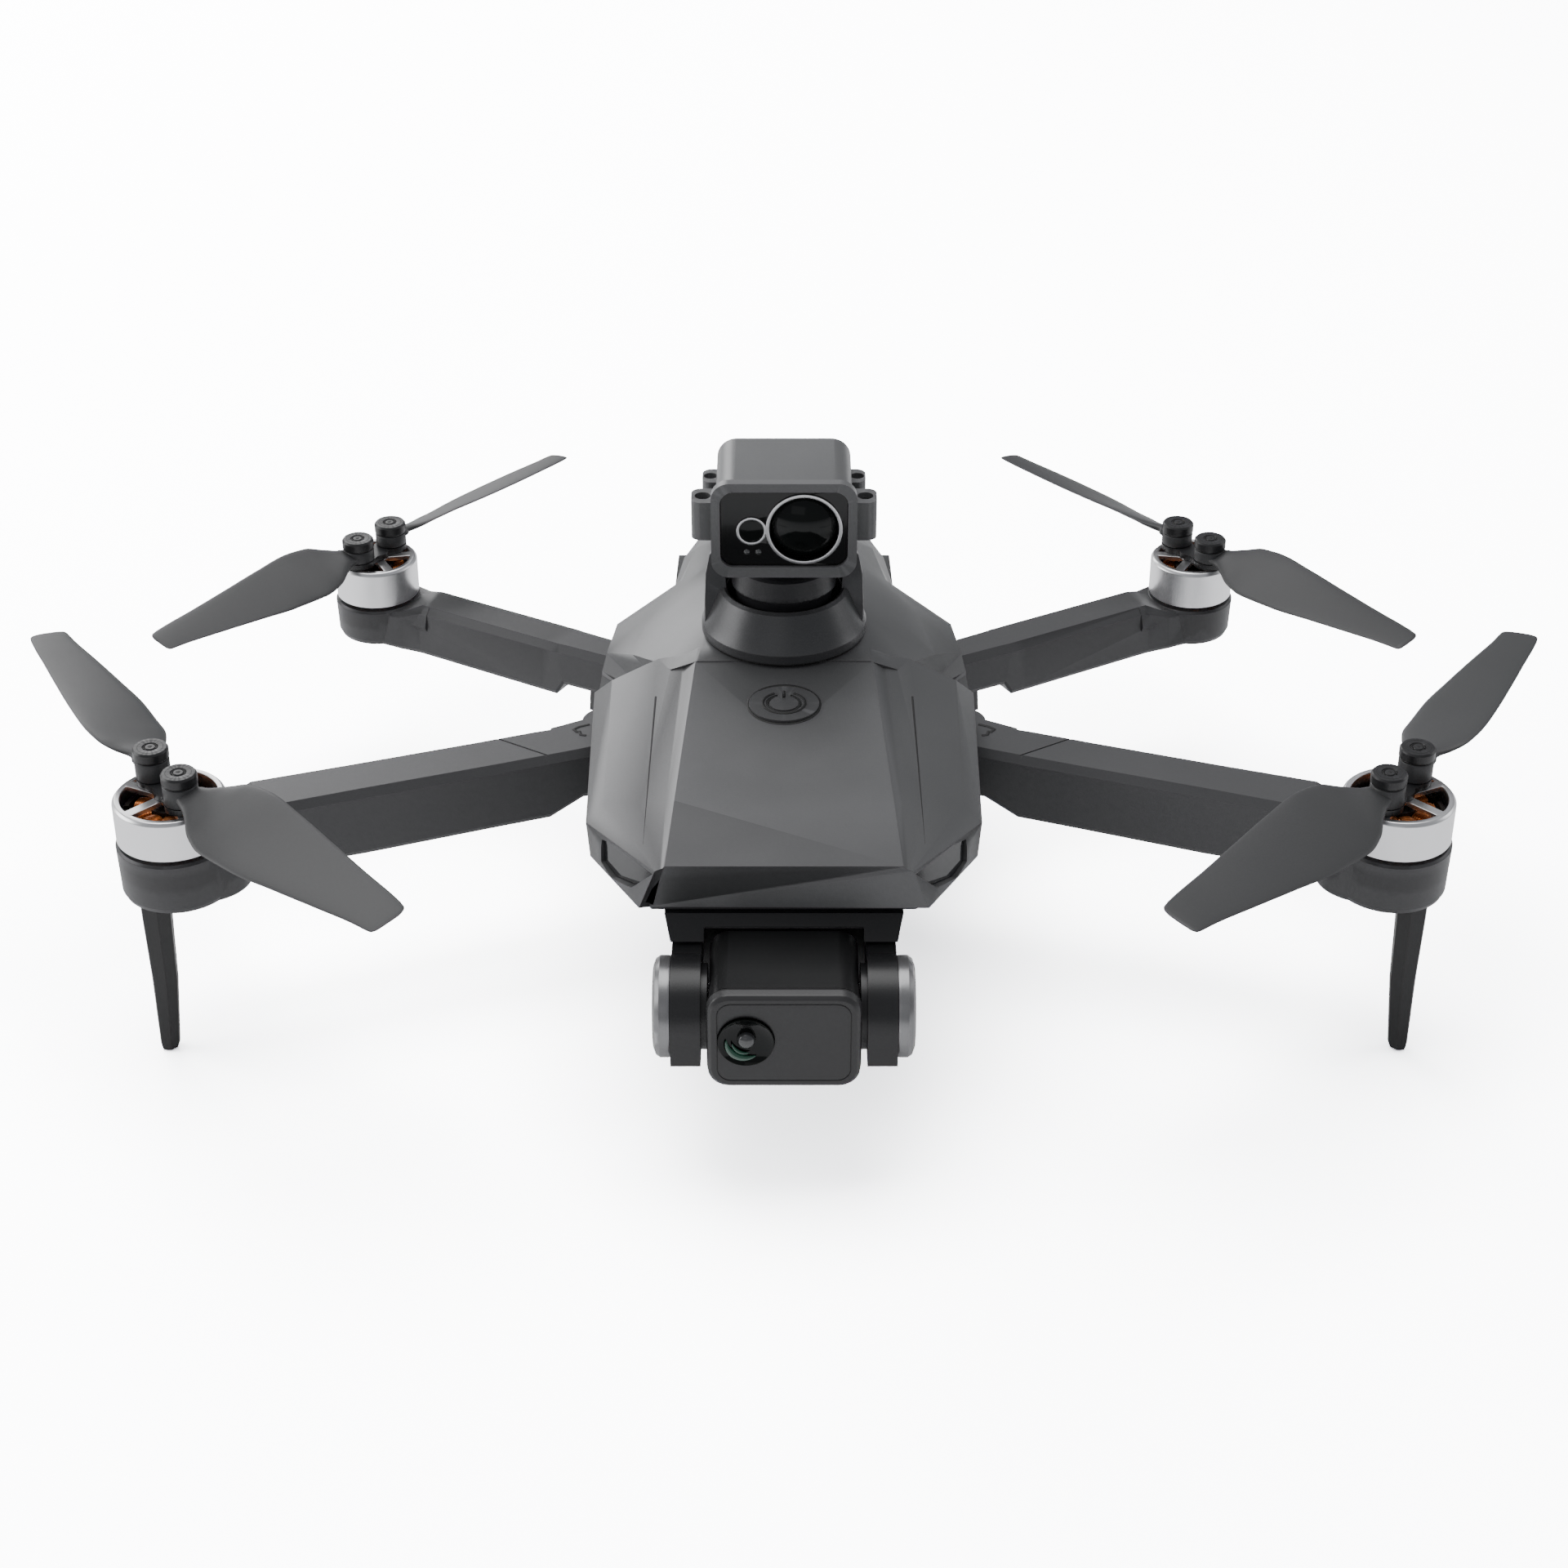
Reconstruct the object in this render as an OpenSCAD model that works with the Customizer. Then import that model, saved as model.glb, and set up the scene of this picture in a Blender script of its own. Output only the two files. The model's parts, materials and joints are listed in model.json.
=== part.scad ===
// Folding quadcopter with a pitching nose camera and a turning sensor head.
// Millimetres, +Z up, the nose faces -Y, the ground is z = 0.

/* [Upper shell] */
// Half width of the shell at its shoulders
body_hw = 48.5; // [47.5:0.5:49]
// Height of the centre panel beside the turret
panel_z = 80.3; // [79.5:0.1:80.3]
// Wall of the upper shell
shell_t = 1.8; // [1.2:0.1:2]
// Diameter of the power button
button_d = 17.6; // [15:0.2:18]

/* [Arms] */
// Width of the front arm bars
arm_w = 15.2; // [14:0.2:15.6]
// Diameter of the rear motor pods
pod_d = 24.2; // [23.8:0.2:24.4]
// Diameter of the front motor pods
front_pod_d = 28.4; // [28:0.2:28.8]
// Radius of the fold pins of the front arms
front_pin_r = 3; // [2.5:0.1:3.4]
// Radius of the fold pins of the rear arms
rear_pin_r = 2.5; // [2:0.1:2.8]

/* [Motors and propellers] */
// Diameter of the rear motor bells
bell_d = 23.2; // [22.6:0.1:23.4]
// Diameter of the front motor bells
front_bell_d = 27.6; // [27:0.1:27.8]
// Height of the motor bells
bell_h = 10.8; // [10.4:0.1:11]
// Distance between the two blade pins of a front propeller
pin_gap = 15; // [13.6:0.2:15.4]
// Distance between the two blade pins of a rear propeller
rear_pin_gap = 13; // [12:0.2:13.6]
// Length of a front blade from its pin to its tip
blade_len = 79.5; // [66:0.5:79.5]
// Length of a rear blade from its pin to its tip
rear_blade_len = 70.5; // [60:0.5:72]
// Pitch of the blade at its root, in degrees
root_pitch = 17; // [10:1:18]

/* [Camera] */
// Width of the camera housing
cam_w = 34.6; // [30:0.2:35]
// Height of the camera housing
cam_h = 25; // [22:0.5:25.5]
// Radius of the camera lens
cam_lens_r = 6.4; // [5:0.1:6.8]

/* [Sensor head] */
// Width of the head housing
head_w = 34; // [30:0.5:35]
// Height of the head
head_h = 25.8; // [24:0.2:26]
// Outer radius of the large lens ring
ring_r = 9.6; // [9:0.1:9.8]

/* [Battery] */
// Length of the battery pack
batt_l = 86; // [70:1:87]
// Width of the battery pack
batt_w = 53; // [46:1:54]

/* [Hidden] */
$fn = 64;
e = 0.01;
y_mid = 15;              // the whole part is centred on the ground by this shift
fm = [-149.6, -49];      // front left motor axis
rm = [-116, 86.5];       // rear left motor axis
fz = 59.2;               // underside of the front bells
rz = 55.6;               // underside of the rear bells
fp = [-46, 4.5];         // front left fold pin
rp = [-46, 48];          // rear left fold pin
rp_z = 37.6;               // height of the rear fold pins
rfold = 210;            // heading of the rear left fold axis
f_head = -53;            // heading of the front left pin line
r_head = 53;             // heading of the rear left pin line
tc = [0, 18];            // turret axis
cam = [0, -100.5, 44];   // camera pitch axis
deck_z = 62;
stack = 1.9;             // from bell top to the blade root

// ---------------------------------------------------------------- helpers
function tri_vol(p, f) = p[f[0]] * cross(p[f[1]], p[f[2]]) / 6;
function total(v, i = 0) = i < len(v) ? v[i] + total(v, i + 1) : 0;
function rev(f) = [f[2], f[1], f[0]];
// A closed skin through rings of points; sym mirrors the diagonals of the left half
module loft(rings, sym = false) {
  n = len(rings[0]);
  m = len(rings);
  p = [for (r = rings) for (q = r) q];
  f = concat(
    [for (j = [1:n - 2]) [0, j, j + 1]],
    [for (j = [1:n - 2]) [(m - 1) * n, (m - 1) * n + j + 1, (m - 1) * n + j]],
    [for (i = [0:m - 2]) for (j = [0:n - 1]) let (k = (j + 1) % n) [i * n + j, (i + 1) * n + j, sym && j < n / 2 ? (i + 1) * n + k : i * n + k]],
    [for (i = [0:m - 2]) for (j = [0:n - 1]) let (k = (j + 1) % n) [i * n + k, sym && j < n / 2 ? i * n + j : (i + 1) * n + j, (i + 1) * n + k]]);
  v = total([for (t = f) tri_vol(p, t)]);
  polyhedron(points = p, faces = v > 0 ? [for (t = f) rev(t)] : f, convexity = 6);
}
// A half ring of points on the right becomes a full ring, left to right
function both(h) = concat([for (q = h) [-q[0], q[1], q[2]]], [for (i = [len(h) - 1:-1:0]) h[i]]);
module at() translate([0, -y_mid, 0]) children();
module flip() mirror([1, 0, 0]) children();
module pair() { children(); flip() children(); }
module bar(x0, x1, y0, y1, z0, z1) translate([x0, y0, z0]) cube([x1 - x0, y1 - y0, z1 - z0]);
module rbox(w, h, r) {  // rounded rectangle outline
  difference() {
    square([w, h], center = true);
    for (i = [-1, 1]) for (j = [-1, 1]) translate([i * w / 2, j * h / 2])
      difference() { square(2 * r, center = true); translate([-i * r, -j * r]) circle(r); }
  }
}
// Turn so that +Z points along the horizontal heading a
module along(a) rotate([0, 0, a]) rotate([0, 90, 0]) children();

// ---------------------------------------------------------------- upper shell
bw = body_hw;
pz = panel_z;
// d is how far the skin lies inside the outer face, t how far below the top
function nose_rings(d, t) = [
  both([[31.5 - d, -86 + d, 62], [33.6 - d, -91 + d, 65], [29.8 - d, -90 + d, 74.4 - t], [29.2 - d, -89.9 + d, 74.7 - t], [28.6 - d, -89.8 + d, 74.9 - t], [28 - d, -89.7 + d, 75.1 - t], [27.5 - d, -89.6 + d, 75.6 - t]]),
  both([[bw - 4.1 - d, -64.5 + d / 2, 62], [bw - 2.3 - d, -68 + d / 2, 64.5], [bw - 1.2 - d, -63.5 + d / 2, 71.2 - t], [43.2 - d, -60 + d / 2, 74.6 - t], [34.6 - d, -62 + d / 2, 75.5 - t], [28.2 - d, -62.8 + d / 2, 76 - t], [26.1 - d, -63 + d / 2, 77 - t]]),
  both([[bw + 0.6 - d, 2 - d, 62], [bw + 0.6 - d, 2 - d, 65], [bw + 0.4 - d, 1 - d, 70.2 - t], [44.2 - d, 0 - d, 74.4 - t], [32.6 - d, 7 - d, 76.8 - t], [25.2 - d, 7 - d, 78.2 - t], [22.2 - d, 7 - d, pz - 0.2 - t]])];
function spine_rings(d, t) = [
  both([[33 - d, 0, 62], [33 - d, 0, 66], [32 - d, 0, 72 - t], [29 - d, 0, 77.6 - t], [22 - d, 0, pz - 0.3 - t]]),
  both([[35 - d, 8, 62], [35 - d, 8, 65], [34.4 - d, 8.5, 71.5 - t], [32.6 - d, 9, 74.6 - t], [21.4 - d, 7, pz - t]]),
  both([[bw - d, 25 + d, 62], [bw - d, 26 + d, 62.6], [47.4 - d, 30.5 + d, 65.8 - t / 3], [40 - d, 21 + d, 70.4 - t], [21 - d, 24, pz - t]]),
  both([[46.4 - d, 46 - d, 62], [46.4 - d, 46 - d, 62.6], [45.4 - d, 46 - d, 66.2 - t / 3], [36 - d, 42, 71.4 - t], [20.4 - d, 42, pz - 0.1 - t]]),
  both([[32 - d, 62, 62], [31.8 - d, 62, 64], [30.6 - d, 60.5, 67.6 - t], [28 - d, 60, 72.4 - t], [19.6 - d, 60, pz - 2.4 - t]]),
  both([[29.4 - d, 85, 62], [29.2 - d, 85, 63.6], [28.2 - d, 84, 67.2 - t], [25 - d, 84, 70 - t], [18.4 - d, 84, 72.6 - t]]),
  both([[26 - d, 100 - d, 62], [25.8 - d, 100 - d, 63], [24.6 - d, 99 - d, 65.6 - t], [21 - d, 98.4 - d, 67.6 - t], [15 - d, 98 - d, 68.8 - t]])];
function lower(r, dz) = [for (k = r) [for (q = k) [q[0], q[1], q[2] <= 62.01 ? q[2] - dz : q[2]]]];
// Angular frame of the window in each front corner
function win(s, dy) = let (u = [0.585, 0.811, -0.13], w = [-0.30, 0.12, -0.945], o = [-38.4, -78.4, 69.2], n = [-0.78, -0.56, 0.19])
  [for (q = [[-13, 2.6], [-8.6, -3.4], [0.6, -4.6], [6.6, -2.4], [9.6, 3.2], [4, 3.8]])
    [for (i = [0:2]) o[i] - s * q[0] * u[i] * [-1, 1, 1][i] * -1 - s * q[1] * w[i] + dy * n[i]]];
module window_prism(s, d0, d1) loft([win(s, d0), win(s, d1)]);
module upper_shell() color([0.30, 0.30, 0.31]) difference() {
  union() { loft(nose_rings(0, 0), true); loft(spine_rings(0, 0), true); }
  loft(lower(nose_rings(shell_t, shell_t), 1), true);
  loft(lower(spine_rings(shell_t, shell_t), 1), true);
  translate([0, -20.5, 60]) cylinder(d = button_d + 0.5, h = 30);
  translate([tc[0], tc[1], 60]) cylinder(r = 17.3, h = 30);
  pair() window_prism(1.02, -4, 6);
}
module corner_windows() color([0.06, 0.06, 0.07]) pair() window_prism(0.98, -1.9, -0.7);
module front_sensors() color([0.10, 0.10, 0.11]) pair() translate([-35, -76, 68.4]) rotate([0, 0, -54.3])
  rotate([90, 0, 0]) { cylinder(r = 2.7, h = 1.6); translate([0, 0, -4]) cylinder(r = 3.4, h = 4 + e); }
module power_button() color([0.27, 0.27, 0.28]) translate([0, -20.5, 0]) difference() {
  union() {
    translate([0, 0, 76.2]) cylinder(d = button_d, h = pz - 0.9 - 76.2);
    translate([0, 0, 75]) cylinder(r = button_d / 2 + 1.6, h = 1.2);
    translate([0, 0, 70.4]) cylinder(r = 2, h = 5);
  }
  translate([0, 0, pz - 1.3]) difference() { cylinder(r = 4.6, h = 3); cylinder(r = 3.6, h = 9, center = true); translate([-1.6, 0, -1]) cube([3.2, 9, 9]); }
  translate([-0.4, 1, pz - 1.3]) cube([0.8, 4, 3]);
}

// ---------------------------------------------------------------- lower shell
function tub(y, hw, zb, c, k = 0) = [[-hw, y, 60.4 + k], [-hw, y, zb + c], [-hw + c * 0.6, y, zb], [hw - c * 0.6, y, zb], [hw, y, zb + c], [hw, y, 60.4 + k]];
deck = [[31, -84.6], [bw - 4.4, -64], [bw + 0.6, 2], [bw + 0.5, 10], [bw, 25], [46.4, 46], [32, 62], [29.4, 85], [26, 100]];
module lower_shell() color([0.20, 0.20, 0.21]) difference() {
  union() {
    loft([tub(-57, 30, 37, 8), tub(-34, 31, 26, 9), tub(10, 31, 24, 9), tub(72, 31, 24, 9), tub(99, 30.4, 25, 8)]);
    translate([0, 0, 60.39]) linear_extrude(1.6) polygon(concat(deck, [for (i = [len(deck) - 1:-1:0]) [-deck[i][0], deck[i][1]]]));
    // blocks that hold the rear fold pins
    pair() translate([rp[0], rp[1], rp_z]) along(rfold + 180) translate([0, 0, 9.2]) cylinder(r = 4.2, h = 11);
    // rear landing fins
    pair() loft([[[-28, 64, 29.4], [-22, 64, 29.4], [-22, 88, 29.4], [-28, 88, 29.4]], [[-26.6, 72, 1.6], [-23.4, 72, 1.6], [-23.4, 84, 1.6], [-26.6, 84, 1.6]]]);
  }
  bar(-28.4, 28.4, -52, 8, 38, 61); bar(-26, 26, -33, 8, 29, 61);
  bar(-26, 26, -56, 50, 60, 63);
  bar(-16.2, 16.2, 7, 13, 41.8, 50.2);
  bar(-(batt_w + 0.8) / 2, (batt_w + 0.8) / 2, 12.6, 110, 29.6, 57.8);
  pair() translate([fp[0], fp[1], 50]) cylinder(r = front_pin_r, h = 20);
  pair() translate([rp[0], rp[1], rp_z]) along(rfold + 180) translate([0, 0, -5]) cylinder(r = rear_pin_r, h = 22);
  translate([0, -14, 20]) cylinder(r = 6.05, h = 20);
  for (x = [-21, 21]) for (y = [-20, 6]) translate([x, y, 20]) cylinder(r = 1.25, h = y < 0 ? 6.65 : 5.65);
  // slots of the fan grille under the nose
  for (x = [-15:5:15]) bar(x - 1, x + 1, -30, -21, 20, 32);
}
module foot_pads() color([0.05, 0.05, 0.05]) pair() translate([-25, 78, 0]) linear_extrude(1.6) rbox(3.6, 13, 1.6);
module body_screws() color([0.35, 0.35, 0.36]) for (x = [-21, 21]) for (y = [-20, 6]) translate([x, y, y < 0 ? 25.3 : 24.3]) difference() {
  union() { cylinder(r = 1.2, h = 1.3); cylinder(r = 1.25, h = 1.1); }
  translate([0, 0, -1]) linear_extrude(1.6) { square([1.6, 0.4], center = true); square([0.4, 1.6], center = true); }
}
module belly_sensor() color([0.05, 0.05, 0.06]) translate([0, -14, 23.6]) { cylinder(r = 6, h = 3.4); cylinder(r = 4, h = 5.2); }
module front_hinge_pins() color([0.62, 0.62, 0.64]) pair() translate([fp[0], fp[1], 0]) { translate([0, 0, 44.2]) cylinder(r = 5, h = 2.4); translate([0, 0, 46]) cylinder(r = front_pin_r, h = 15.9); }
module rear_hinge_pins() color([0.62, 0.62, 0.64]) pair() translate([rp[0], rp[1], rp_z]) along(rfold + 180) translate([0, 0, -5.4]) cylinder(r = rear_pin_r, h = 22);
module main_board() color([0.05, 0.30, 0.12]) union() {
  bar(-26, 26, -50, 6, 44, 45.6);
  bar(-12, 10, -38, -18, 45.6 - e, 48.2); bar(-22, -15, -30, -10, 45.6 - e, 47.4); bar(14, 22, -40, -28, 45.6 - e, 47.8); bar(-6, 8, -8, 2, 45.6 - e, 48);
  for (x = [-23, 23]) for (y = [-46, 2]) translate([x, y, y < -40 ? 38.01 : 29.01]) cylinder(r = 1.6, h = y < -40 ? 6.1 : 15.1);
}
module gps_module() color([0.72, 0.66, 0.48]) union() { bar(-11, 11, 62, 84, 62.1, 64); bar(-9, 9, 64, 82, 64 - e, 67); }
module battery_contacts() color([0.80, 0.62, 0.25]) union() { bar(-16, 16, 8.1, 11.9, 42, 50); for (i = [-3:3]) bar(i * 4 - 0.8, i * 4 + 0.8, 11.8, 12.9, 44, 48); }
module turret_motor() color([0.55, 0.55, 0.57]) translate([tc[0], tc[1], 0]) difference() {
  union() { translate([0, 0, 66]) cylinder(r = 11, h = 8.6); translate([0, 0, 62.05]) cylinder(r = 14, h = 4); }
  translate([0, 0, 61]) cylinder(r = 3.3, h = 20);
}

// ---------------------------------------------------------------- battery
module battery_pack() color([0.16, 0.16, 0.17]) difference() {
  union() {
    translate([0, 13 + batt_l, 43.7]) rotate([90, 0, 0]) linear_extrude(batt_l) rbox(batt_w, 27.4, 3);
    translate([0, 13 + batt_l, 43.7]) rotate([-90, 0, 0]) linear_extrude(1.4) rbox(batt_w - 3, 25, 3);
  }
  bar(-10.2, 10.2, 5 + batt_l, 20 + batt_l, 49, 54.4);
  for (i = [-3:3]) bar(i * 4 - 1.1, i * 4 + 1.1, 12, 16, 43.5, 48.5);
  for (i = [0:3]) translate([-9 + i * 6, 14 + batt_l, 38]) rotate([90, 0, 0]) cylinder(r = 0.9, h = 2, center = true);
}
module battery_latch() color([0.10, 0.10, 0.10]) union() {
  bar(-9.9, 9.9, 7.4 + batt_l + 0.4, 15.2 + batt_l, 49.3, 51.9);
  for (i = [-3:3]) bar(i * 2.6 - 0.5, i * 2.6 + 0.5, 11 + batt_l, 15 + batt_l, 51.8, 52.4);
}

// ---------------------------------------------------------------- turret
module turret_base() color([0.26, 0.26, 0.27]) translate([tc[0], tc[1], 0]) difference() {
  union() {
    rotate_extrude() polygon([[14.4, pz - 4], [17, pz - 4], [17, pz + 0.05], [21, pz + 0.05], [21.4, pz + 0.6], [21.4, pz + 2.8], [20.8, pz + 3.6], [16.6, pz + 11.8], [15.6, pz + 12.4], [14.8, pz + 12], [14.4, pz + 11]]);
    intersection() {
      rotate_extrude() polygon([[15, pz + 3], [20.8, pz + 3.4], [20.6, pz + 9], [20.2, pz + 16], [19.2, pz + 20.6], [17.6, pz + 22.6], [16.2, pz + 22.8], [15.4, pz + 21], [15, pz + 12]]);
      translate([0, -6, pz + 4]) rotate([-16, 0, 0]) translate([-40, 2, -30]) cube([80, 60, 90]);
    }
  }
  // two slots on each side
  pair() for (k = [0, 1]) rotate([0, 0, -18 - 20 * k]) translate([-21.9, 0, pz + 11]) rotate([0, 8, 0]) cube([3, 1.6, 9], center = true);
}
module turret_bearing() color([0.70, 0.70, 0.72]) translate([tc[0], tc[1], 76.1]) difference() { cylinder(r = 14.3, h = 6); translate([0, 0, -1]) cylinder(r = 6.05, h = 9); }
module head_neck() color([0.22, 0.22, 0.23]) translate([tc[0], tc[1], 0]) {
  translate([0, 0, 84]) cylinder(r = 12.6, h = 10);
  translate([0, 0, 75]) cylinder(r = 6, h = 9.5);
  translate([0, 0, 67]) cylinder(r = 3.2, h = 9);
  rotate_extrude() polygon([[0, 93.8], [13.4, 93.8], [13.6, 94.4], [12.6, 99.2], [11.8, 99.8], [0, 99.8]]);
  translate([0, 0, 99.7]) cylinder(r = 9.4, h = 5.3);
}
// ---------------------------------------------------------------- sensor head
hz = 105;
module head_housing() color([0.30, 0.30, 0.31]) difference() {
  union() {
    // face frame
    translate([0, 0.6, hz + head_h / 2]) rotate([90, 0, 0]) linear_extrude(2.6) rbox(head_w + 2.4, head_h, 4.6);
    translate([0, 26, hz + head_h / 2 + 0.3]) rotate([90, 0, 0]) linear_extrude(25.5) rbox(head_w, head_h - 1.4, 5);
    // clamp lugs on both sides
    pair() translate([-18.6, 8.6, hz + 7.2]) linear_extrude(10.4) rbox(9.4, 8.4, 2.4);
    pair() translate([-17.2, 19, hz + 2.4]) linear_extrude(15.8) rbox(7, 8, 2.4);
  }
  translate([0, 4, hz + head_h / 2 + 0.3]) rotate([90, 0, 0]) linear_extrude(9) rbox(31.8, head_h - 5.2, 3.4);
  translate([0, 24, hz + head_h / 2 + 0.3]) rotate([90, 0, 0]) linear_extrude(21) rbox(30.6, head_h - 5, 3.4);
  pair() { translate([-20.4, 8.6, hz + 14]) cylinder(r = 2, h = 9); translate([-18.6, 19, hz + 14.6]) cylinder(r = 1.7, h = 9); }
}
module head_window() color([0.02, 0.02, 0.02]) difference() {
  translate([0, 0.4, hz + head_h / 2 + 0.3]) rotate([90, 0, 0]) linear_extrude(1.5) rbox(31.4, head_h - 5.6, 3.2);
  translate([5, 5, hz + 13.1]) rotate([90, 0, 0]) cylinder(r = ring_r + 0.05, h = 9);
  translate([-8.1, 5, hz + 12.6]) rotate([90, 0, 0]) cylinder(r = 3.85, h = 9);
}
module head_rings() color([0.78, 0.78, 0.80]) union() {
  translate([5, 0.4, hz + 13.1]) rotate([90, 0, 0]) difference() { cylinder(r = ring_r, h = 2); translate([0, 0, -1]) cylinder(r = ring_r - 0.9, h = 4); }
  translate([-8.1, 0.4, hz + 12.6]) rotate([90, 0, 0]) difference() { cylinder(r = 3.8, h = 1.9); translate([0, 0, -1]) cylinder(r = 3.1, h = 4); }
}
module head_lens() color([0.05, 0.05, 0.06, 0.6]) union() {
  translate([5, 0, hz + 13.1]) intersection() {
    rotate([90, 0, 0]) cylinder(r = ring_r - 1, h = 6, center = true);
    translate([0, 9.6, 0]) sphere(r = 12.4);
    translate([0, -6, 0]) cube([40, 12.8, 40], center = true);
  }
  translate([-8.1, 0.4, hz + 12.6]) rotate([90, 0, 0]) cylinder(r = 3.05, h = 1.4);
}
module head_lens_barrel() color([0.04, 0.04, 0.05]) translate([5, 3, hz + 13.1]) rotate([-90, 0, 0]) difference() {
  union() { cylinder(r = 8.8, h = 4); cylinder(r = 6.8, h = 14); }
  translate([0, 0, -1]) cylinder(r = 5, h = 9);
}
module head_screws() color([0.50, 0.50, 0.52]) pair() {
  translate([-20.4, 8.6, hz + 14.05]) difference() { cylinder(r = 1.8, h = 1.9); translate([0, 0, 1]) linear_extrude(2) { square([2.4, 0.5], center = true); square([0.5, 2.4], center = true); } }
  translate([-18.6, 19, hz + 14.65]) difference() { cylinder(r = 1.5, h = 1.9); translate([0, 0, 1]) linear_extrude(2) { square([2, 0.4], center = true); square([0.4, 2], center = true); } }
}

// ---------------------------------------------------------------- camera and its mount
module gimbal_mount() color([0.07, 0.07, 0.07]) difference() {
  union() {
    bar(-27.4, 27.4, -86, -58, 58.6, 60.3);
    loft([[[-28, -86, 60.3], [28, -86, 60.3], [28, -83.6, 60.3], [-28, -83.6, 60.3]], [[-26.6, -90, 54.8], [26.6, -90, 54.8], [26.6, -88.4, 54.8], [-26.6, -88.4, 54.8]]]);
  }
  // room for the camera to swing
  translate([0, cam[1], cam[2]]) rotate([0, 90, 0]) cylinder(r = 18.5, h = 37.4, center = true);
}
module damper_balls() color([0.12, 0.12, 0.12]) for (x = [-19, 19]) for (y = [-76.4, -63.6]) translate([x, y, 0]) difference() {
  union() { translate([0, 0, 53.9]) cylinder(r = 2.2, h = 4.65); translate([0, 0, 56.2]) intersection() { sphere(r = 3.2); cube([9, 9, 4], center = true); } }
  translate([0, 0, 53]) cylinder(r = 0.8, h = 7);
}
module gimbal_fork() color([0.06, 0.06, 0.06]) difference() {
  union() {
    bar(-26.2, 26.2, -80, -59.8, 50.8, 53.85);
    // wall behind the camera
    bar(-20, 20, -80, -78, 36, 51);
    // bosses beside the camera
    pair() translate([-19.3, cam[1], cam[2]]) rotate([0, 90, 0]) cylinder(r = 10, h = 1.6);
    pair() translate([-26.2, 0, 0]) rotate([90, 0, 90]) linear_extrude(7) union() {
      translate([cam[1], cam[2]]) difference() { circle(r = 12); translate([-20, -28.5]) square([40, 20]); }
      translate([cam[1] - 12, cam[2] - 8.5]) square([24, 8.5]);
      polygon([[cam[1] + 6, cam[2] - 6], [cam[1] + 22, cam[2] + 1], [-70, 50.8], [-70, 53.85], [cam[1], cam[2] + 9.85]]);
    }
  }
  translate([0, cam[1], cam[2]]) rotate([0, 90, 0]) cylinder(r = 3.05, h = 80, center = true);
}
module gimbal_side_caps() color([0.24, 0.24, 0.25]) pair() translate([-26.3, cam[1], cam[2]]) rotate([0, -90, 0])
  rotate_extrude() polygon([[0, 0], [11.8, 0], [11.9, 0.6], [11.9, 2.4], [11.2, 3.4], [9.6, 4], [4, 4.2], [0, 4.2]]);
module camera_housing() color([0.06, 0.06, 0.06]) difference() {
  union() {
    translate([0, cam[1] + 12.6, cam[2]]) rotate([90, 0, 0]) linear_extrude(23) rbox(cam_w, cam_h, 4.6);
    translate([0, cam[1], cam[2]]) rotate([0, 90, 0]) cylinder(r = 3, h = 51.6, center = true);
  }
  translate([0, cam[1] + 11, cam[2]]) rotate([90, 0, 0]) linear_extrude(30) rbox(cam_w - 3.2, cam_h - 3.2, 3.4);
}
module camera_front_frame() color([0.08, 0.08, 0.08]) difference() {
  loft([for (k = [[cam[1] - 10.45, 0, 4.6], [cam[1] - 11.6, 0.5, 4.9], [cam[1] - 13.6, 0.2, 4.8], [cam[1] - 14.4, -0.6, 4.4]])
    [for (c = [0:3]) for (i = [0:5]) let (a = 90 * c + 18 * i, sx = [1, -1, -1, 1][c], sz = [1, 1, -1, -1][c])
      [sx * (cam_w / 2 + k[1] - k[2]) + k[2] * cos(a), k[0], cam[2] + sz * (cam_h / 2 + k[1] - k[2]) + k[2] * sin(a)]]]);
  translate([-8.7, cam[1], cam[2] + 0.6]) rotate([90, 0, 0]) cylinder(r = cam_lens_r + 0.1, h = 40);
}
module camera_lens() color([0.05, 0.10, 0.08, 0.7]) translate([-8.7, cam[1] - 13.4, cam[2] + 0.6]) union() {
  rotate([90, 0, 0]) cylinder(r = cam_lens_r, h = 0.6);
  intersection() { translate([0, 10.2, 0]) sphere(r = 12); rotate([90, 0, 0]) cylinder(r = cam_lens_r - 0.6, h = 9); }
}
module camera_sensor() color([0.04, 0.04, 0.05]) translate([-8.7, cam[1] - 13.2, cam[2] + 0.6]) rotate([-90, 0, 0]) difference() {
  union() { cylinder(r = cam_lens_r, h = 3); cylinder(r = 5, h = 16); translate([-6.6, -8, 16 - e]) cube([20, 16, 2]); }
  translate([0, 0, -1]) cylinder(r = 4, h = 9);
}

// ---------------------------------------------------------------- arms
aw = arm_w / 2;
function fr_sec(p, d, w, z0, z1, b) = let (c = cos(d), s = sin(d), h = (z1 - z0))
  [for (q = [[-w, z0], [-w - 0.6, z0 + 1.2], [-w + 0.4, z1 - b], [-w + b, z1], [w - 1, z1], [w, z1 - 1], [w, z0 + 1], [w - 1, z0]])
    [p[0] - s * q[0], p[1] + c * q[0], q[1]]];
module pod_l(c, z0, z1, d = pod_d) translate([c[0], c[1], z0]) {
  cylinder(r1 = d / 2 - 0.9, r2 = d / 2 - 0.3, h = 1.4);
  translate([0, 0, 1.3]) cylinder(r1 = d / 2 - 0.3, r2 = d / 2, h = z1 - z0 - 1.9);
  translate([0, 0, z1 - z0 - 0.7]) cylinder(r1 = d / 2, r2 = d / 2 - 0.6, h = 0.7);
}
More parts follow.
